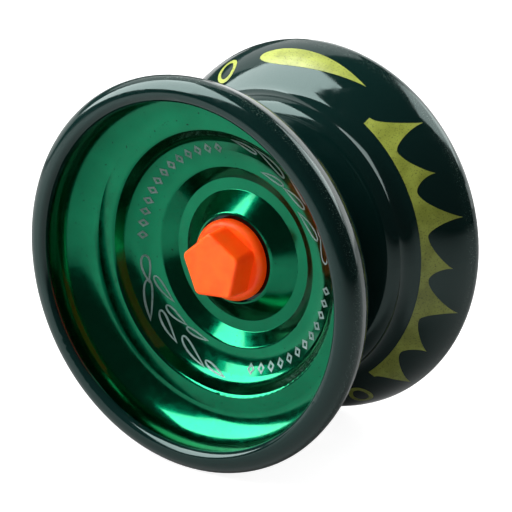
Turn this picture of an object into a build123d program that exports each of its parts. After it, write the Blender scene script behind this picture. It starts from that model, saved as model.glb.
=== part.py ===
"""Ball-bearing yo-yo: two turned halves clamped on a threaded stud by pentagonal knobs.

Frame: the axle lies along Y, +Z is up, and the origin is the middle of the string gap on the axle.
Units are millimetres. Every round piece is drawn in a half plane whose first coordinate is the
radius from the axle and whose second is the distance out from the middle of the gap.
"""

import math
import os

from build123d import *

os.makedirs("parts", exist_ok=True)

# Sides of the gap: the front half faces -Y, the rear half +Y.
SIDES = {"front": -1, "rear": 1}

# Overall size.
outer_radius = 27.5
lip_station = 16.75
half_gap = 1.65

# Outside of a half, from the rim towards the gap.
rim_arc_radius = 9.33
rim_top_deg = -10
rim_step = (22.5, 7.7)
cove_middle = (21.35, 6.75)
shoulder_edge = (20.9, 5.4)
shoulder_middle = (20.2, 4.35)
shoulder_end = (18.9, 3.75)
gap_face_radius = 11.0

# Rolled lip with a narrow flat crest.
lip_outer_round = 2.0
lip_land_outer = outer_radius - lip_outer_round
lip_land_inner = 25.15
lip_inner_radius = 24.15
lip_under_station = 15.7

# Visible face of the cup, from the lip towards the axle. The wall leans in over the bowl.
cup_thickness = 0.4
cup_edge = (24.9, 15.6)
wall_lean_deg = 25
ledge_slope_deg = 6.5
crease = (18.75, 8.1)
crease_slope_deg = 62
dish_cone_deg = 24
dish_knee = (14.8, 4.59)
dish_end = (12.95, 4.33)
floor_outer_radius = 11.1
floor_inner_radius = 9.45
floor_station = 2.65
hill_shoulder = (6.6, 4.57)
hill_top = (6.25, 4.63)
bowl_round = 4.9
crease_round = 0.6
dish_corner_round = 2.5
dish_knee_round = 5.0
dish_end_round = 0.5
floor_round = 0.15
hill_round = 0.5

# Stud and clamping hardware.
thread_pitch = 0.7
stud_radius = 1.97
stud_root_radius = 1.62
stud_half_length = 8.5
stud_clearance = 0.06
hub_floor_station = 3.9
washer_radius = 5.0
washer_thickness = 0.6
washer_bore = 2.6
washer_recess_radius = 3.05
washer_recess_depth = 0.3
insert_radius = 2.9
insert_waist_radius = 2.6
insert_spigot_radius = 2.5
insert_lip_radius = 2.85
insert_lip_thickness = 0.17
insert_end_station = 8.2
insert_flutes = 18
flute_radius = 0.16

# Knob.
knob_base_station = 4.55
knob_flange_radius = 5.82
knob_flange_station = 5.2
knob_shoulder = (5.1, 6.15)
knob_face_station = 9.9
knob_corner_radius = 4.95
knob_corner_round = 0.8
knob_face_round = 0.35
knob_foot_corner_radius = 5.25
knob_foot_corner_round = 1.4
knob_turn_deg = 22.5
knob_bore_end = 8.9

# Bearing, 6.35 x 12.7 x 4.76 mm.
bearing_half_width = 2.38
inner_ring_bore = 3.175
inner_ring_radius = 3.95
outer_ring_bore = 5.35
outer_ring_radius = 6.35
ball_radius = 1.0
ball_circle_radius = 4.65
ball_count = 8
race_clearance = 0.05
cage_inner_radius = 4.4
cage_outer_radius = 4.9
cage_half_width = 1.25
cage_pocket_clearance = 0.06
shield_station = 1.75
shield_thickness = 0.2
shield_inner_radius = 4.15
shield_outer_radius = 5.5
snap_ring_inner_radius = 5.15
snap_ring_outer_radius = 5.62
snap_ring_thickness = 0.25
snap_ring_gap_deg = 34

# Bearing seats and response pads.
slip_fit = 0.04
seat_end_station = 0.08
seat_flange_radius = 4.1
seat_flange_station = 3.0
seat_pocket_clearance = 0.02
bearing_pocket_radius = 6.65
bearing_pocket_station = 2.65
pad_inner_radius = 7.1
pad_outer_radius = 8.9
pad_groove_station = 2.05
pad_proud = 0.05


def half_plane(side):
    """Drawing plane through the axle: x is the radius, y the distance out from the gap."""
    return Plane(origin=(0, 0, 0), x_dir=(1, 0, 0), z_dir=(0, 0, side))


def face_plane(side, station):
    """Plane square to the axle at a station, looking outwards, with its x along the row's X."""
    return Plane(origin=(0, side * station, 0), x_dir=(1, 0, 0), z_dir=(0, side, 0))


def save(part, name):
    """Label a finished piece and write its STEP file."""
    part.label = name
    export_step(part, f"parts/{name}.step")


def on_circle(centre, radius, degrees):
    """Point of a circle in the drawing plane, at an angle from its x."""
    turn = math.radians(degrees)
    return (centre[0] + radius * math.cos(turn), centre[1] + radius * math.sin(turn))


def meeting(first, first_deg, second, second_deg):
    """Point where two lines meet, each given by a point and its slope from the radius axis."""
    turn = math.radians(second_deg - first_deg)
    across = (second[0] - first[0], second[1] - first[1])
    slope = math.radians(second_deg)
    reach = (across[0] * math.sin(slope) - across[1] * math.cos(slope)) / math.sin(turn)
    heading = math.radians(first_deg)
    return (first[0] + reach * math.cos(heading), first[1] + reach * math.sin(heading))


def set_back(corners, distance):
    """Corners of the same outline, moved a distance into the metal behind the cup's face."""
    slopes = []
    moved = []
    for (r0, s0), (r1, s1) in zip(corners, corners[1:]):
        length = math.hypot(r1 - r0, s1 - s0)
        slopes.append(math.degrees(math.atan2(s1 - s0, r1 - r0)))
        moved.append((r0 - distance * (s1 - s0) / length, s0 + distance * (r1 - r0) / length))
    inner = [
        meeting(moved[k], slopes[k], moved[k + 1], slopes[k + 1]) for k in range(len(moved) - 1)
    ]
    start = meeting(moved[0], slopes[0], corners[0], 0)
    end = meeting(moved[-1], slopes[-1], corners[-1], 90)
    return [start, *inner, end]


def cup_line(setback):
    """Cup profile from its edge under the lip to the top of the hill round the knob."""
    bowl_corner = meeting(cup_edge, 90 + wall_lean_deg, crease, ledge_slope_deg)
    dish_corner = meeting(crease, crease_slope_deg, dish_knee, dish_cone_deg)
    corners = [
        cup_edge,
        bowl_corner,
        crease,
        dish_corner,
        dish_knee,
        dish_end,
        (floor_outer_radius, floor_station),
        (floor_inner_radius, floor_station),
        hill_shoulder,
        hill_top,
    ]
    rounds = [
        bowl_round + setback,
        crease_round - setback,
        dish_corner_round + setback,
        dish_knee_round + setback,
        dish_end_round - setback,
        floor_round + setback,
        floor_round + setback,
        hill_round - setback,
    ]
    if setback:
        corners = set_back(corners, setback)
    return FilletPolyline(*corners, radius=rounds)


def make_body(side):
    """Black metal half: rim, lip, shoulder, gap face and hub."""
    with BuildPart() as body:
        with BuildSketch(half_plane(side)):
            with BuildLine():
                hub = Polyline(
                    (hill_top[0], hub_floor_station),
                    (stud_radius + stud_clearance, hub_floor_station),
                    (stud_radius + stud_clearance, seat_flange_station),
                    (seat_flange_radius + seat_pocket_clearance, seat_flange_station),
                    (seat_flange_radius + seat_pocket_clearance, bearing_pocket_station),
                    (bearing_pocket_radius, bearing_pocket_station),
                    (bearing_pocket_radius, half_gap),
                    (pad_inner_radius, half_gap),
                    (pad_inner_radius, pad_groove_station),
                    (pad_outer_radius, pad_groove_station),
                    (pad_outer_radius, half_gap),
                    (gap_face_radius, half_gap),
                )
                flank = Line(hub @ 1, shoulder_end)
                shoulder = ThreePointArc(flank @ 1, shoulder_middle, shoulder_edge)
                cove = ThreePointArc(shoulder @ 1, cove_middle, rim_step)
                lip_centre = (lip_land_outer, lip_station - lip_outer_round)
                rim_reach = rim_arc_radius - lip_outer_round
                rim_centre = on_circle(lip_centre, rim_reach, rim_top_deg + 180)
                rim = ThreePointArc(
                    cove @ 1,
                    on_circle(rim_centre, rim_arc_radius, -30),
                    on_circle(lip_centre, lip_outer_round, rim_top_deg),
                )
                lip = ThreePointArc(
                    rim @ 1,
                    on_circle(lip_centre, lip_outer_round, 45),
                    (lip_land_outer, lip_station),
                )
                land = Line(lip @ 1, (lip_land_inner, lip_station))
                inner_round = lip_land_inner - lip_inner_radius
                inner_centre = (lip_land_inner, lip_station - inner_round)
                inner = ThreePointArc(
                    land @ 1,
                    on_circle(inner_centre, inner_round, 135),
                    (lip_inner_radius, lip_station - inner_round),
                )
                back = cup_line(cup_thickness)
                Polyline(inner @ 1, (lip_inner_radius, lip_under_station), cup_edge, back @ 0)
                Line(back @ 1, hub @ 0)
            make_face()
        revolve(axis=Axis.Y)
    return body.part


def make_cup(side):
    """Green anodised cup, a thin shell snapped in under the lip."""
    with BuildPart() as cup:
        with BuildSketch(half_plane(side)):
            with BuildLine():
                face = cup_line(0)
                back = cup_line(cup_thickness)
                Line(face @ 0, back @ 0)
                Line(face @ 1, back @ 1)
            make_face()
        revolve(axis=Axis.Y)
    return cup.part


def make_knob(side):
    """Pentagonal finger knob with a round flange, hollow for its threaded insert."""
    turn = -knob_turn_deg if side > 0 else knob_turn_deg
    with BuildPart() as knob:
        with BuildSketch(half_plane(side)):
            with BuildLine():
                foot = Polyline(
                    (0, knob_shoulder[1]),
                    (0, knob_base_station),
                    (knob_flange_radius - 0.3, knob_base_station),
                    (knob_flange_radius, knob_base_station + 0.3),
                    (knob_flange_radius, knob_flange_station),
                )
                edge = ThreePointArc(
                    foot @ 1,
                    (knob_flange_radius - 0.2, knob_flange_station + 0.65),
                    knob_shoulder,
                )
                Line(edge @ 1, foot @ 0)
            make_face()
        revolve(axis=Axis.Y)
        with BuildSketch(face_plane(side, knob_shoulder[1] - 0.4)) as foot_section:
            RegularPolygon(knob_foot_corner_radius, 5, rotation=turn)
            fillet(foot_section.vertices(), radius=knob_foot_corner_round)
        with BuildSketch(face_plane(side, knob_face_station)) as face_section:
            RegularPolygon(knob_corner_radius, 5, rotation=turn)
            fillet(face_section.vertices(), radius=knob_corner_round)
        loft()
        fillet(knob.faces().sort_by(Axis.Y)[-1 if side > 0 else 0].edges(), radius=knob_face_round)
        with BuildSketch(half_plane(side)):
            with BuildLine():
                Polyline(
                    (0, knob_base_station),
                    (insert_radius, knob_base_station),
                    (insert_radius, insert_end_station),
                    (stud_radius + 0.25, insert_end_station),
                    (stud_radius + 0.25, knob_bore_end),
                    (0, knob_bore_end),
                    close=True,
                )
            make_face()
        revolve(axis=Axis.Y, mode=Mode.SUBTRACT)
    return knob.part


def make_insert(side):
    """Fluted brass insert moulded into the knob, with a lip that keeps the washer on."""
    lip_station_inner = hub_floor_station + 0.05
    lip_top = lip_station_inner + insert_lip_thickness
    waist = (insert_end_station + knob_base_station) / 2
    with BuildPart() as insert:
        with BuildSketch(half_plane(side)):
            with BuildLine():
                Polyline(
                    (stud_radius + stud_clearance, lip_station_inner),
                    (insert_lip_radius, lip_station_inner),
                    (insert_lip_radius, lip_top),
                    (insert_spigot_radius, lip_top),
                    (insert_spigot_radius, knob_base_station),
                    (insert_radius, knob_base_station),
                    (insert_radius, waist - 0.5),
                    (insert_waist_radius, waist - 0.3),
                    (insert_waist_radius, waist + 0.3),
                    (insert_radius, waist + 0.5),
                    (insert_radius, insert_end_station),
                    (stud_radius + stud_clearance, insert_end_station),
                    close=True,
                )
            make_face()
        revolve(axis=Axis.Y)
        with BuildSketch(face_plane(side, knob_base_station)):
            with PolarLocations(insert_radius, insert_flutes):
                Circle(flute_radius)
        extrude(amount=insert_end_station - knob_base_station, mode=Mode.SUBTRACT)
    return insert.part


def make_ring(side, profile):
    """Ring turned from a closed profile of (radius, station) points."""
    with BuildPart() as ring:
        with BuildSketch(half_plane(side)):
            with BuildLine():
                Polyline(*profile, close=True)
            make_face()
        revolve(axis=Axis.Y)
    return ring.part


def make_washer(side):
    """Captive washer, recessed underneath for the insert's lip."""
    inner, outer = hub_floor_station, hub_floor_station + washer_thickness
    return make_ring(
        side,
        [
            (washer_recess_radius, inner),
            (washer_radius, inner),
            (washer_radius, outer),
            (washer_bore, outer),
            (washer_bore, inner + washer_recess_depth),
            (washer_recess_radius, inner + washer_recess_depth),
        ],
    )


def make_response_pad(side):
    """Silicone ring in the gap face that grips the string."""
    inner = half_gap - pad_proud
    return make_ring(
        side,
        [
            (pad_inner_radius, inner),
            (pad_outer_radius, inner),
            (pad_outer_radius, pad_groove_station),
            (pad_inner_radius, pad_groove_station),
        ],
    )


def make_bearing_seat(side):
    """Flanged bush that centres the bearing: tight in the rear half, a slip fit in front."""
    tight = side > 0
    bore = stud_radius if tight else stud_radius + stud_clearance
    radius = inner_ring_bore if tight else inner_ring_bore - slip_fit
    return make_ring(
        side,
        [
            (bore, seat_end_station),
            (radius, seat_end_station),
            (radius, bearing_half_width),
            (seat_flange_radius, bearing_half_width),
            (seat_flange_radius, seat_flange_station),
            (bore, seat_flange_station),
        ],
    )


def make_stud():
    """Threaded stud; its thread is drawn as rings at the thread's pitch."""
    rings = int((stud_half_length - 0.5) / thread_pitch)
    crests = [thread_pitch * (k - rings) for k in range(2 * rings + 1)]
    outline = [(0, -stud_half_length), (stud_root_radius, -stud_half_length)]
    for crest in crests:
        outline += [
            (stud_root_radius, crest - 0.3),
            (stud_radius, crest - 0.1),
            (stud_radius, crest + 0.1),
            (stud_root_radius, crest + 0.3),
        ]
    outline += [(stud_root_radius, stud_half_length), (0, stud_half_length)]
    return make_ring(1, outline)


def make_inner_ring():
    """Bearing inner ring with its raceway."""
    with BuildPart() as ring:
        with BuildSketch(half_plane(1)):
            with Locations(((inner_ring_bore + inner_ring_radius) / 2, 0)):
                Rectangle(inner_ring_radius - inner_ring_bore, 2 * bearing_half_width)
            with Locations((ball_circle_radius, 0)):
                Circle(ball_radius + race_clearance, mode=Mode.SUBTRACT)
        revolve(axis=Axis.Y)
    return ring.part


def make_outer_ring():
    """Bearing outer ring: raceway, shield seats and snap ring grooves."""
    groove = shield_station + shield_thickness
    with BuildPart() as ring:
        with BuildSketch(half_plane(1)):
            with Locations(((outer_ring_bore + outer_ring_radius) / 2, 0)):
                Rectangle(outer_ring_radius - outer_ring_bore, 2 * bearing_half_width)
            with Locations((ball_circle_radius, 0)):
                Circle(ball_radius + race_clearance, mode=Mode.SUBTRACT)
            seat_width = bearing_half_width - shield_station
            seat_middle = shield_station + seat_width / 2
            with Locations(
                ((shield_outer_radius + outer_ring_bore) / 2, seat_middle),
                ((shield_outer_radius + outer_ring_bore) / 2, -seat_middle),
            ):
                Rectangle(shield_outer_radius - outer_ring_bore, seat_width, mode=Mode.SUBTRACT)
            with Locations(
                (snap_ring_outer_radius / 2, groove + snap_ring_thickness / 2),
                (snap_ring_outer_radius / 2, -groove - snap_ring_thickness / 2),
            ):
                Rectangle(snap_ring_outer_radius, snap_ring_thickness, mode=Mode.SUBTRACT)
        revolve(axis=Axis.Y)
    return ring.part


def make_balls():
    """The bearing's balls, one group of separate solids."""
    with BuildPart() as balls:
        with PolarLocations(ball_circle_radius, ball_count):
            Sphere(ball_radius)
    return balls.part.rotate(Axis.X, 90)


def make_cage():
    """Ball cage: a ring with a round pocket for each ball."""
    with BuildPart() as cage:
        with BuildSketch(Plane.XZ.offset(-cage_half_width)):
            Circle(cage_outer_radius)
            Circle(cage_inner_radius, mode=Mode.SUBTRACT)
        extrude(amount=2 * cage_half_width)
        for k in range(ball_count):
            angle = 360 * k / ball_count
            pocket = Plane(
                origin=(0, 0, 0),
                z_dir=(math.cos(math.radians(angle)), 0, math.sin(math.radians(angle))),
            )
            with BuildSketch(pocket):
                Circle(ball_radius + cage_pocket_clearance)
            extrude(amount=2 * ball_circle_radius, mode=Mode.SUBTRACT)
    return cage.part


def make_shield(side):
    """Pressed steel shield that closes one side of the bearing."""
    outer = shield_station + shield_thickness
    return make_ring(
        side,
        [
            (shield_inner_radius, shield_station),
            (shield_outer_radius, shield_station),
            (shield_outer_radius, outer),
            (shield_inner_radius, outer),
        ],
    )


def make_snap_ring(side):
    """Open spring ring that keeps the shield in."""
    groove = shield_station + shield_thickness
    with BuildPart() as ring:
        with BuildSketch(face_plane(side, groove)):
            Circle(snap_ring_outer_radius)
            Circle(snap_ring_inner_radius, mode=Mode.SUBTRACT)
            half_opening = snap_ring_outer_radius * math.tan(math.radians(snap_ring_gap_deg / 2))
            with BuildLine():
                Polyline(
                    (0, 0),
                    (half_opening, 1.2 * snap_ring_outer_radius),
                    (-half_opening, 1.2 * snap_ring_outer_radius),
                    close=True,
                )
            make_face(mode=Mode.SUBTRACT)
        extrude(amount=snap_ring_thickness)
    return ring.part


for half, sign in SIDES.items():
    save(make_body(sign), f"{half}_body")
    save(make_cup(sign), f"{half}_cup")
    save(make_knob(sign), f"{half}_knob")
    save(make_insert(sign), f"{half}_insert")
    save(make_washer(sign), f"{half}_washer")
    save(make_response_pad(sign), f"{half}_response_pad")
    save(make_bearing_seat(sign), f"{half}_bearing_seat")
    save(make_shield(sign), f"{half}_shield")
    save(make_snap_ring(sign), f"{half}_snap_ring")
save(make_stud(), "axle_stud")
save(make_inner_ring(), "bearing_inner_ring")
save(make_outer_ring(), "bearing_outer_ring")
save(make_balls(), "bearing_balls")
save(make_cage(), "bearing_cage")
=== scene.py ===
"""Looks of the ball-bearing yo-yo: black lacquered halves, green anodised cups, orange knobs."""

import math

import bmesh
import bpy
from mathutils import Matrix, Vector
from mathutils.bvhtree import BVHTree


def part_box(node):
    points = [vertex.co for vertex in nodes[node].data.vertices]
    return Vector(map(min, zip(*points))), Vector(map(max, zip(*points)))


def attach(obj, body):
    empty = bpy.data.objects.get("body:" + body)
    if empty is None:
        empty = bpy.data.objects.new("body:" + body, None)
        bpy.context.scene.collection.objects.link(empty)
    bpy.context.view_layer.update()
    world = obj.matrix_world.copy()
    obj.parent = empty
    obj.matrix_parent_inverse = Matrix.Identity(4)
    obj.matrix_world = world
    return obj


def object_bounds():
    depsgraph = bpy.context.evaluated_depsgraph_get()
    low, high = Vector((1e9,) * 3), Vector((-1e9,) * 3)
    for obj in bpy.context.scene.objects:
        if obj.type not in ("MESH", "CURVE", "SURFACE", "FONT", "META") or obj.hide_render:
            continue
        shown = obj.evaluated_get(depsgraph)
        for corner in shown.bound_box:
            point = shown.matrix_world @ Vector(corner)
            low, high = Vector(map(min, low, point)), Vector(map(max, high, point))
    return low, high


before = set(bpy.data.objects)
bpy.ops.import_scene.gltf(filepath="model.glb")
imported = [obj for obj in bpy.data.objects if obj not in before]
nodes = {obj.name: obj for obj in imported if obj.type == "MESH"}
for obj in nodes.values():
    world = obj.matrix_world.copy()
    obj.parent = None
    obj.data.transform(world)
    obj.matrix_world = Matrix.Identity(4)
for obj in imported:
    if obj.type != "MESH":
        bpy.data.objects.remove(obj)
cad_low, cad_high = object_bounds()

MM = 0.001
centre = Vector((0, 0, 0))

# Camera: where it stands round the object, and how far it is slid sideways and up without turning.
camera_azimuth = math.radians(35.706)
camera_elevation = math.radians(17.879)
camera_distance = 0.261465
camera_slide = (0.00044, -0.000757)
camera_sensor = 36.0
camera_lens = 131.27

toward_camera = Vector((
    math.sin(camera_azimuth) * math.cos(camera_elevation),
    -math.cos(camera_azimuth) * math.cos(camera_elevation),
    math.sin(camera_elevation),
))
camera_right = Vector((math.cos(camera_azimuth), math.sin(camera_azimuth), 0))
camera_up = toward_camera.cross(camera_right)


def make_camera():
    data = bpy.data.cameras.new("camera")
    data.sensor_width = camera_sensor
    data.lens = camera_lens
    data.clip_start = 0.01
    data.clip_end = 10
    camera = bpy.data.objects.new("camera", data)
    slide = camera_right * camera_slide[0] + camera_up * camera_slide[1]
    camera.location = toward_camera * camera_distance + slide
    turn = Matrix((camera_right, camera_up, toward_camera)).transposed()
    camera.rotation_euler = turn.to_euler()
    bpy.context.scene.collection.objects.link(camera)
    bpy.context.scene.camera = camera


# Studio -------------------------------------------------------------------------------------

def studio_direction(across_deg, up_deg):
    """Direction from the object: degrees round from the camera towards its right, and up."""
    across = math.radians(across_deg)
    up = math.radians(up_deg)
    level = camera_right * math.sin(across) + toward_camera * math.cos(across)
    return level * math.cos(up) + camera_up * math.sin(up)


def make_panel(name, place, aim, width, height, radiance, glossy=True):
    """Rectangular softbox at a place, facing the point that it is aimed at."""
    data = bpy.data.lights.new(name, "AREA")
    data.shape = "RECTANGLE"
    data.size = width
    data.size_y = height
    data.energy = radiance * math.pi * width * height
    light = bpy.data.objects.new(name, data)
    light.location = place
    light.rotation_mode = "QUATERNION"
    light.rotation_quaternion = (place - aim).to_track_quat("Z", "Y")
    light.visible_camera = False
    light.visible_glossy = glossy
    bpy.context.scene.collection.objects.link(light)


floor_radius = 3.0
floor_reflectance = 0.36
floor_glow = 0.9


def make_floor():
    """White floor that the camera sees brighter than the object does."""
    mesh = bpy.data.meshes.new("floor")
    shape = bmesh.new()
    bmesh.ops.create_circle(shape, cap_ends=True, segments=96, radius=floor_radius)
    shape.to_mesh(mesh)
    shape.free()
    floor = bpy.data.objects.new("floor", mesh)
    floor.location = (0, 0, cad_low.z)
    bpy.context.scene.collection.objects.link(floor)
    material = bpy.data.materials.new("floor_paper")
    material.use_nodes = True
    tree = material.node_tree
    shader = tree.nodes["Principled BSDF"]
    shader.inputs["Base Color"].default_value = (*[floor_reflectance] * 3, 1)
    shader.inputs["Roughness"].default_value = 0.9
    shader.inputs["Specular IOR Level"].default_value = 0.1
    shader.inputs["Emission Color"].default_value = (1, 1, 1, 1)
    seen = tree.nodes.new("ShaderNodeLightPath")
    glow = tree.nodes.new("ShaderNodeMath")
    glow.operation = "MULTIPLY"
    glow.inputs[1].default_value = floor_glow
    tree.links.new(seen.outputs["Is Camera Ray"], glow.inputs[0])
    tree.links.new(glow.outputs[0], shader.inputs["Emission Strength"])
    mesh.materials.append(material)


def make_world():
    """White behind the object for the camera, and dim all round for everything else."""
    world = bpy.data.worlds.new("studio")
    bpy.context.scene.world = world
    world.use_nodes = True
    tree = world.node_tree
    tree.nodes.clear()
    out = tree.nodes.new("ShaderNodeOutputWorld")
    mix = tree.nodes.new("ShaderNodeMixShader")
    path = tree.nodes.new("ShaderNodeLightPath")
    seen = tree.nodes.new("ShaderNodeBackground")
    seen.inputs["Color"].default_value = (1, 1, 1, 1)
    around = tree.nodes.new("ShaderNodeBackground")
    around.inputs["Color"].default_value = (0.05, 0.055, 0.055, 1)
    tree.links.new(path.outputs["Is Camera Ray"], mix.inputs["Fac"])
    tree.links.new(around.outputs[0], mix.inputs[1])
    tree.links.new(seen.outputs[0], mix.inputs[2])
    tree.links.new(mix.outputs[0], out.inputs["Surface"])


# Softboxes aimed at the object: name, degrees round and up from the camera, distance, width and
# height in metres, and radiance.
softboxes = [
    ("key", -75, 37, 0.36, 0.28, 0.38, 8.5),
    ("overhead", -140, 60, 0.5, 0.50, 0.36, 1.2),
    ("side", 98, 42, 0.5, 0.30, 0.34, 4.0),
    ("back_left", -140, 2, 0.7, 0.9, 0.6, 1.1),
    ("back_right", 140, 20, 0.7, 1.0, 0.9, 1.6),
]


def make_studio():
    make_floor()
    make_world()
    for name, across_deg, up_deg, distance, width, height, radiance in softboxes:
        place = studio_direction(across_deg, up_deg) * distance
        make_panel(name, place, centre, width, height, radiance)
    # Two lamps light only the floor: behind the object and to its left.
    behind = studio_direction(180, 0) * 0.3
    left = studio_direction(-85, 0) * 0.16
    make_panel("sweep", behind + Vector((0, 0, 0.5)), behind, 0.5, 0.5, 1.5, glossy=False)
    make_panel("table", left + Vector((0, 0, 0.22)), left, 0.16, 0.16, 6.0, glossy=False)
    scene = bpy.context.scene
    scene.view_settings.view_transform = "Standard"
    scene.view_settings.look = "None"


# Materials ----------------------------------------------------------------------------------

class Shader:
    """A node material under construction, with short calls for the nodes that these looks use."""

    def __init__(self, name, **values):
        self.material = bpy.data.materials.new(name)
        self.material.use_nodes = True
        self.nodes = self.material.node_tree.nodes
        self.links = self.material.node_tree.links
        self.main = self.nodes["Principled BSDF"]
        for socket, value in values.items():
            self.main.inputs[socket.replace("_", " ")].default_value = value
        self.position = self.nodes.new("ShaderNodeTexCoord").outputs["Object"]

    def noise(self, scale, detail=2.0, stretch=(1, 1, 1)):
        """Noise with the given number of features per metre."""
        mapping = self.nodes.new("ShaderNodeMapping")
        mapping.inputs["Scale"].default_value = stretch
        self.links.new(self.position, mapping.inputs["Vector"])
        node = self.nodes.new("ShaderNodeTexNoise")
        node.inputs["Scale"].default_value = scale
        node.inputs["Detail"].default_value = detail
        self.links.new(mapping.outputs[0], node.inputs["Vector"])
        return node.outputs["Fac"]

    def step(self, value, low, high, out_low=0.0, out_high=1.0):
        node = self.nodes.new("ShaderNodeMapRange")
        node.interpolation_type = "SMOOTHSTEP"
        node.inputs["From Min"].default_value = low
        node.inputs["From Max"].default_value = high
        node.inputs["To Min"].default_value = out_low
        node.inputs["To Max"].default_value = out_high
        self.links.new(value, node.inputs["Value"])
        return node.outputs["Result"]

    def math(self, kind, first, second=None):
        node = self.nodes.new("ShaderNodeMath")
        node.operation = kind
        for socket, value in zip(node.inputs, (first, second)):
            if value is None:
                continue
            if isinstance(value, (int, float)):
                socket.default_value = value
            else:
                self.links.new(value, socket)
        return node.outputs[0]

    def radius(self):
        """Distance from the axle."""
        parts = self.nodes.new("ShaderNodeSeparateXYZ")
        self.links.new(self.position, parts.inputs[0])
        square = self.math("ADD", self.math("POWER", parts.outputs["X"], 2.0),
                           self.math("POWER", parts.outputs["Z"], 2.0))
        return self.math("SQRT", square)

    def mix(self, factor, first, second):
        node = self.nodes.new("ShaderNodeMix")
        node.data_type = "RGBA"
        self.links.new(factor, node.inputs["Factor"])
        for socket, value in ((node.inputs[6], first), (node.inputs[7], second)):
            if isinstance(value, tuple):
                socket.default_value = (*value, 1)
            else:
                self.links.new(value, socket)
        return node.outputs[2]

    def feed(self, socket, value):
        self.links.new(value, self.main.inputs[socket])

    def bump(self, height, distance, strength=1.0):
        node = self.nodes.new("ShaderNodeBump")
        node.inputs["Distance"].default_value = distance
        node.inputs["Strength"].default_value = strength
        self.links.new(height, node.inputs["Height"])
        self.links.new(node.outputs[0], self.main.inputs["Normal"])


def black_lacquer():
    look = Shader("black_lacquer", Specular_IOR_Level=0.5)
    look.main.inputs["Specular Tint"].default_value = (0.75, 1.0, 0.96, 1)
    # Light specks in a ring round the lip's crest (radius 26.9–27.4 mm) are a painted highlight
    # along the rim's edge.
    speck = look.step(look.noise(9000, 1.0), 0.66, 0.74)
    edge = look.step(look.radius(), 26.9 * MM, 27.4 * MM)
    painted_crest_highlight = look.math("MULTIPLY", speck, edge)
    look.feed("Base Color", look.mix(painted_crest_highlight, (0.002, 0.012, 0.0105), (0.18, 0.24, 0.2)))
    look.feed("Roughness", look.step(look.noise(600, 3.0), 0.3, 0.7, 0.07, 0.14))
    look.bump(look.noise(250, 1.0), 0.02 * MM, 0.25)
    return look.material


def anodised_green():
    look = Shader("anodised_green", Metallic=1.0, Coat_Weight=0.25, Coat_Roughness=0.05)
    tone = look.step(look.noise(180, 3.0), 0.3, 0.7)
    green = look.mix(tone, (0.0005, 0.15, 0.066), (0.001, 0.18, 0.08))
    pits = look.step(look.noise(2600, 1.0), 0.73, 0.78)
    look.feed("Base Color", look.mix(pits, green, (0.001, 0.02, 0.01)))
    look.feed("Roughness", look.step(look.noise(900, 3.0), 0.3, 0.7, 0.13, 0.20))
    return look.material


def orange_plastic():
    # The knob's faint red emission is a painted glow standing in for light passing through the
    # plastic; the knob is no lamp.
    look = Shader("orange_plastic", Subsurface_Weight=0.7, Subsurface_Scale=2.0 * MM,
                  Specular_IOR_Level=0.35, Emission_Strength=0.3)
    look.main.inputs["Subsurface Radius"].default_value = (1.0, 0.2, 0.05)
    look.main.inputs["Emission Color"].default_value = (1.0, 0.03, 0.0, 1)
    tone = look.step(look.noise(400, 3.0), 0.3, 0.7)
    look.feed("Base Color", look.mix(tone, (0.98, 0.11, 0.004), (1.0, 0.14, 0.007)))
    look.feed("Roughness", look.step(look.noise(1500, 3.0), 0.3, 0.7, 0.38, 0.5))
    look.bump(look.noise(3500, 3.0), 0.01 * MM, 0.3)
    return look.material


def metal(name, low, high, roughness):
    look = Shader(name, Metallic=1.0)
    look.feed("Base Color", look.mix(look.step(look.noise(500, 3.0), 0.3, 0.7), low, high))
    look.feed("Roughness", look.step(look.noise(2500, 3.0, (1, 0.1, 1)), 0.3, 0.7,
                                     roughness - 0.06, roughness + 0.06))
    return look.material


def silicone():
    look = Shader("silicone", Subsurface_Weight=0.2, Subsurface_Scale=0.5 * MM)
    tone = look.step(look.noise(900, 3.0), 0.3, 0.7)
    look.feed("Base Color", look.mix(tone, (0.62, 0.61, 0.58), (0.7, 0.69, 0.66)))
    look.feed("Roughness", look.step(look.noise(3000, 3.0), 0.3, 0.7, 0.5, 0.65))
    look.bump(look.noise(4000, 2.0), 0.02 * MM, 0.3)
    return look.material


def dress_frame():
    """Gives every CAD node its finish, picked by the last word of its name."""
    lacquer = black_lacquer()
    green = anodised_green()
    orange = orange_plastic()
    brass = metal("insert_brass", (0.62, 0.42, 0.16), (0.72, 0.50, 0.21), 0.3)
    fastener = metal("fastener_steel", (0.36, 0.36, 0.37), (0.45, 0.45, 0.46), 0.32)
    bearing = metal("bearing_steel", (0.55, 0.55, 0.56), (0.63, 0.63, 0.64), 0.18)
    alloy = metal("seat_alloy", (0.60, 0.61, 0.62), (0.68, 0.69, 0.70), 0.3)
    rubber = silicone()
    kinds = {
        "body": lacquer, "cup": green, "knob": orange, "insert": brass, "washer": fastener,
        "stud": fastener, "seat": alloy, "pad": rubber,
    }
    for name, node in nodes.items():
        kind = name.split("_")[-1]
        node.data.materials.clear()
        node.data.materials.append(kinds.get(kind, bearing))


# Prints -------------------------------------------------------------------------------------
#
# A print is drawn flat, in millimetres: u runs round the axle and v outwards from a base circle.
# It is then laid on the CAD surface as a thin closed skin, a little proud of it.

print_sink = 0.03 * MM
print_rise = 0.03 * MM
print_cell = 0.6

# Radii, in millimetres, at which u is measured on the rim and on the dish.
rim_scale = 25.3
dish_radius = 15.5

rear_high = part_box("rear_body")[1]

# The rim's arc: its radius, its middle, the angle at its foot and how far v is pressed along it.
rim_arc = 9.33 * MM
rim_middle_radius = 18.28 * MM
rim_middle_station = rear_high.y - 0.73 * MM
rim_foot_angle = math.radians(63.1)
rim_squeeze = 0.905


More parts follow.
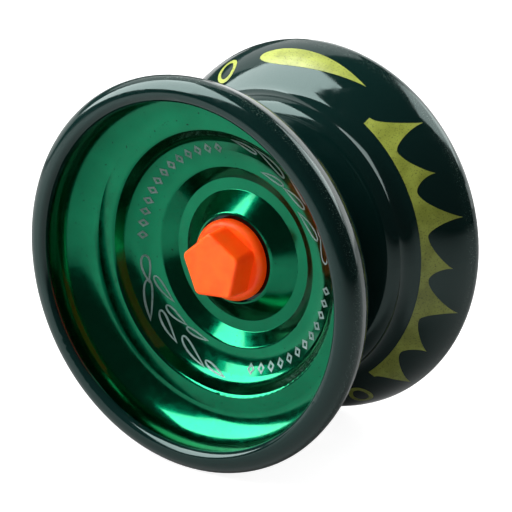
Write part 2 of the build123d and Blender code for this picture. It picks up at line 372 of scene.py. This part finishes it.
class Pen:
    """Closed outline built up from curves. Points are (degrees round the axle, v)."""

    def __init__(self, scale, start):
        self.scale = scale
        self.points = [self.flat(start)]

    def flat(self, point):
        return Vector((math.radians(point[0]) * self.scale, point[1]))

    def to(self, point):
        self.points.append(self.flat(point))
        return self

    def curve(self, leave, arrive, end, steps=14):
        """Cubic curve to end, with its two handles given as offsets from its two ends in mm."""
        a = self.points[-1]
        d = self.flat(end)
        b = a + Vector(leave)
        c = d + Vector(arrive)
        for k in range(1, steps + 1):
            t = k / steps
            m = 1 - t
            self.points.append(m**3 * a + 3 * m * m * t * b + 3 * m * t * t * c + t**3 * d)
        return self


def ellipse(scale, middle, half_u, half_v, turn_deg=0, steps=32):
    centre_u = math.radians(middle[0]) * scale
    turn = math.radians(turn_deg)
    points = []
    for k in range(steps):
        angle = math.tau * k / steps
        u = half_u * math.cos(angle)
        v = half_v * math.sin(angle)
        points.append(Vector((
            centre_u + u * math.cos(turn) - v * math.sin(turn),
            middle[1] + u * math.sin(turn) + v * math.cos(turn),
        )))
    return points


def leaf(scale, root, length, width, turn_deg, line=0.0, steps=18):
    """Teardrop from its pointed tip back to a round root, shrunk by line for an inner edge."""
    base_u = math.radians(root[0]) * scale
    turn = math.radians(turn_deg)
    points = []
    for k in range(2 * steps):
        angle = math.pi * k / steps
        along = (1 - math.cos(angle)) / 2
        u = line + along * (length - 3.2 * line)
        v = math.sin(angle) * (1 - along) ** 0.6 * (width - 1.3 * line)
        points.append(Vector((
            base_u + u * math.cos(turn) - v * math.sin(turn),
            root[1] + u * math.sin(turn) + v * math.cos(turn),
        )))
    return points


def flat_skin(name, outlines):
    """Flat mesh of the area inside the outlines, an inner outline being a hole."""
    curve = bpy.data.curves.new(name, "CURVE")
    curve.dimensions = "2D"
    curve.fill_mode = "BOTH"
    for outline in outlines:
        spline = curve.splines.new("POLY")
        spline.points.add(len(outline) - 1)
        for point, place in zip(spline.points, outline):
            point.co = (place.x, place.y, 0, 1)
        spline.use_cyclic_u = True
    drawing = bpy.data.objects.new(name, curve)
    mesh = bpy.data.meshes.new_from_object(drawing)
    bpy.data.objects.remove(drawing)
    return mesh


def cut_into_cells(shape):
    """Cuts the flat area along a square grid, so that it can bend with the surface."""
    for axis in (0, 1):
        reach = [v.co[axis] for v in shape.verts]
        first = math.floor(min(reach) / print_cell) + 1
        last = math.ceil(max(reach) / print_cell)
        normal = Vector((axis == 0, axis == 1, 0))
        for k in range(first, last):
            bmesh.ops.bisect_plane(
                shape, geom=shape.verts[:] + shape.edges[:] + shape.faces[:], dist=1e-5,
                plane_co=normal * (k * print_cell), plane_no=normal,
            )


def surface_of(node):
    mesh = nodes[node].data
    corners = [v.co.copy() for v in mesh.vertices]
    return BVHTree.FromPolygons(corners, [tuple(f.vertices) for f in mesh.polygons])


def rim_ray(u, v):
    """Line onto the flared outside of the rear half, from outside towards the rim arc's middle."""
    angle = rim_foot_angle - v * rim_squeeze * MM / rim_arc
    turn = u / rim_scale
    outwards = Vector((
        math.cos(angle) * math.cos(turn), -math.sin(angle), math.cos(angle) * math.sin(turn),
    ))
    middle = Vector((math.cos(turn), 0, math.sin(turn))) * rim_middle_radius
    middle.y = rim_middle_station
    return middle + outwards * rim_arc * 1.4, -outwards


def dish_ray(u, v):
    """Line onto the front cup's dish, along the axle from the outside."""
    turn = u / dish_radius
    radius = (dish_radius + v) * MM
    start = Vector((radius * math.cos(turn), cad_low.y * 1.5, radius * math.sin(turn)))
    return start, Vector((0, 1, 0))


def lay_print(name, outlines, ray, surface, material, place, body):
    """Bends a flat print onto a surface, moves it to its half and lets it ride there."""
    mesh = flat_skin(name, outlines)
    shape = bmesh.new()
    shape.from_mesh(mesh)
    bmesh.ops.remove_doubles(shape, verts=shape.verts[:], dist=1e-4)
    cut_into_cells(shape)
    grown = bmesh.ops.extrude_face_region(shape, geom=shape.faces[:])
    top = {v for v in grown["geom"] if isinstance(v, bmesh.types.BMVert)}
    for vertex in shape.verts:
        start, heading = ray(vertex.co.x, vertex.co.y)
        hit = surface.ray_cast(start, heading)[0]
        lift = print_rise if vertex in top else -print_sink
        vertex.co = place @ (hit - heading * lift)
    bmesh.ops.recalc_face_normals(shape, faces=shape.faces[:])
    shape.to_mesh(mesh)
    shape.free()
    mesh.materials.clear()
    mesh.materials.append(material)
    piece = bpy.data.objects.new(name, mesh)
    bpy.context.scene.collection.objects.link(piece)
    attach(piece, body)


# The flame run: degrees round the axle where it starts, the pitch of its tongues, and heights.
flame_start = 55.0
flame_pitch = 15.0
flame_count = 7
flame_foot = 0.25
flame_bay = 1.5
flame_tips = (7.6, 5.2)


def flame_outline():
    """Even run of leaning tongues, tall and short by turns."""
    pen = Pen(rim_scale, (flame_start, flame_foot))
    pen.to((flame_start, flame_bay))
    for k in range(flame_count):
        tip = flame_tips[k % 2]
        rise = tip - flame_bay
        start = flame_start - k * flame_pitch
        pen.curve((-1.6, 0.0), (0.9, -0.45 * rise), (start - 0.75 * flame_pitch, tip))
        pen.curve((0.3, -0.5 * rise), (0.9, 0.0), (start - flame_pitch, flame_bay))
    pen.to((flame_start - flame_count * flame_pitch, flame_foot))
    return pen.points


def drop_outline():
    """Plain teardrop beside the flames."""
    return leaf(rim_scale, (104.0, 4.8), 18.0, 2.4, 180)


def ring_outlines(degrees):
    """Plain oval ring."""
    return [
        ellipse(rim_scale, (degrees, 3.9), 1.75, 2.3, 12),
        ellipse(rim_scale, (degrees, 3.9), 1.1, 1.6, 12),
    ]


def leaf_line(root, length, width, turn_deg):
    """Teardrop drawn as a line: its outer edge and its hole."""
    line = 0.27
    return [
        leaf(dish_radius, root, length, width, turn_deg),
        leaf(dish_radius, root, length, width, turn_deg, line),
    ]


def scroll_prints(start_deg):
    """Scroll of overlapping leaf lines round the dish, each its own closed outline."""
    leaves = [
        ((0.0, 0.1), 4.2, 1.0, 4), ((13.0, 0.35), 5.6, 0.95, 20), ((12.0, -0.6), 5.4, 0.8, -14),
        ((30.0, 0.55), 5.2, 0.8, 10), ((29.5, -0.5), 4.8, 0.75, -10), ((48.0, 0.2), 5.6, 0.8, 16),
        ((46.5, -1.0), 4.6, 0.65, -8), ((66.0, 0.9), 4.0, 0.6, 14),
    ]
    for (degrees, v), length, width, turn in leaves:
        yield leaf_line((start_deg + degrees, v), length, width, turn)


def mark_row(first_deg, count):
    """Row of small plain lozenges."""
    pitch = 6.6
    for k in range(count):
        middle = first_deg + k * pitch
        yield [
            ellipse(dish_radius, (middle, 0.25), 0.62, 0.80, steps=4),
            ellipse(dish_radius, (middle, 0.25), 0.28, 0.36, steps=4),
        ]


def print_ink(name, low, high, roughness, metallic):
    """Screen-printed ink with a fine grain where the lacquer shows through."""
    look = Shader(name, Metallic=metallic)
    tone = look.step(look.noise(350, 4.0), 0.35, 0.65)
    ink = look.mix(tone, low, high)
    grain = look.step(look.noise(5000, 3.0), 0.54, 0.70, 0.0, 0.6)
    look.feed("Base Color", look.mix(grain, ink, tuple(0.12 * c for c in low)))
    look.feed("Roughness", look.step(look.noise(5000, 2.0), 0.3, 0.7, roughness, roughness + 0.1))
    return look.material


def make_prints():
    flame_ink = print_ink("flame_ink", (0.23, 0.27, 0.035), (0.33, 0.38, 0.06), 0.3, 0.0)
    silver_ink = print_ink("silver_ink", (0.16, 0.24, 0.23), (0.24, 0.33, 0.32), 0.4, 0.4)
    rim = surface_of("rear_body")
    dish = surface_of("front_cup")
    half_turn = Matrix.Rotation(math.pi, 4, "Z")
    sides = {
        "rear": (Matrix.Identity(4), half_turn),
        "front": (Matrix.Rotation(math.radians(-35), 4, "Y") @ half_turn, Matrix.Identity(4)),
    }
    rim_prints = {
        "flames": [flame_outline()],
        "drop": [drop_outline()],
        "ring_a": ring_outlines(117.5),
        "ring_b": ring_outlines(-61.5),
    }
    dish_prints = {}
    for label, start in (("scroll_a", 188.0), ("scroll_b", 8.0)):
        for k, outlines in enumerate(scroll_prints(start)):
            dish_prints[f"{label}_{k}"] = outlines
    for label, start, count in (("marks_a", 98.0, 13), ("marks_b", 282.0, 12)):
        for k, outlines in enumerate(mark_row(start, count)):
            dish_prints[f"{label}_{k}"] = outlines
    for side, (rim_place, dish_place) in sides.items():
        body = f"{side}_half"
        for name, outlines in rim_prints.items():
            lay_print(f"{side}_{name}", outlines, rim_ray, rim, flame_ink, rim_place, body)
        for name, outlines in dish_prints.items():
            lay_print(f"{side}_{name}", outlines, dish_ray, dish, silver_ink, dish_place, body)


make_camera()
make_studio()
dress_frame()
make_prints()
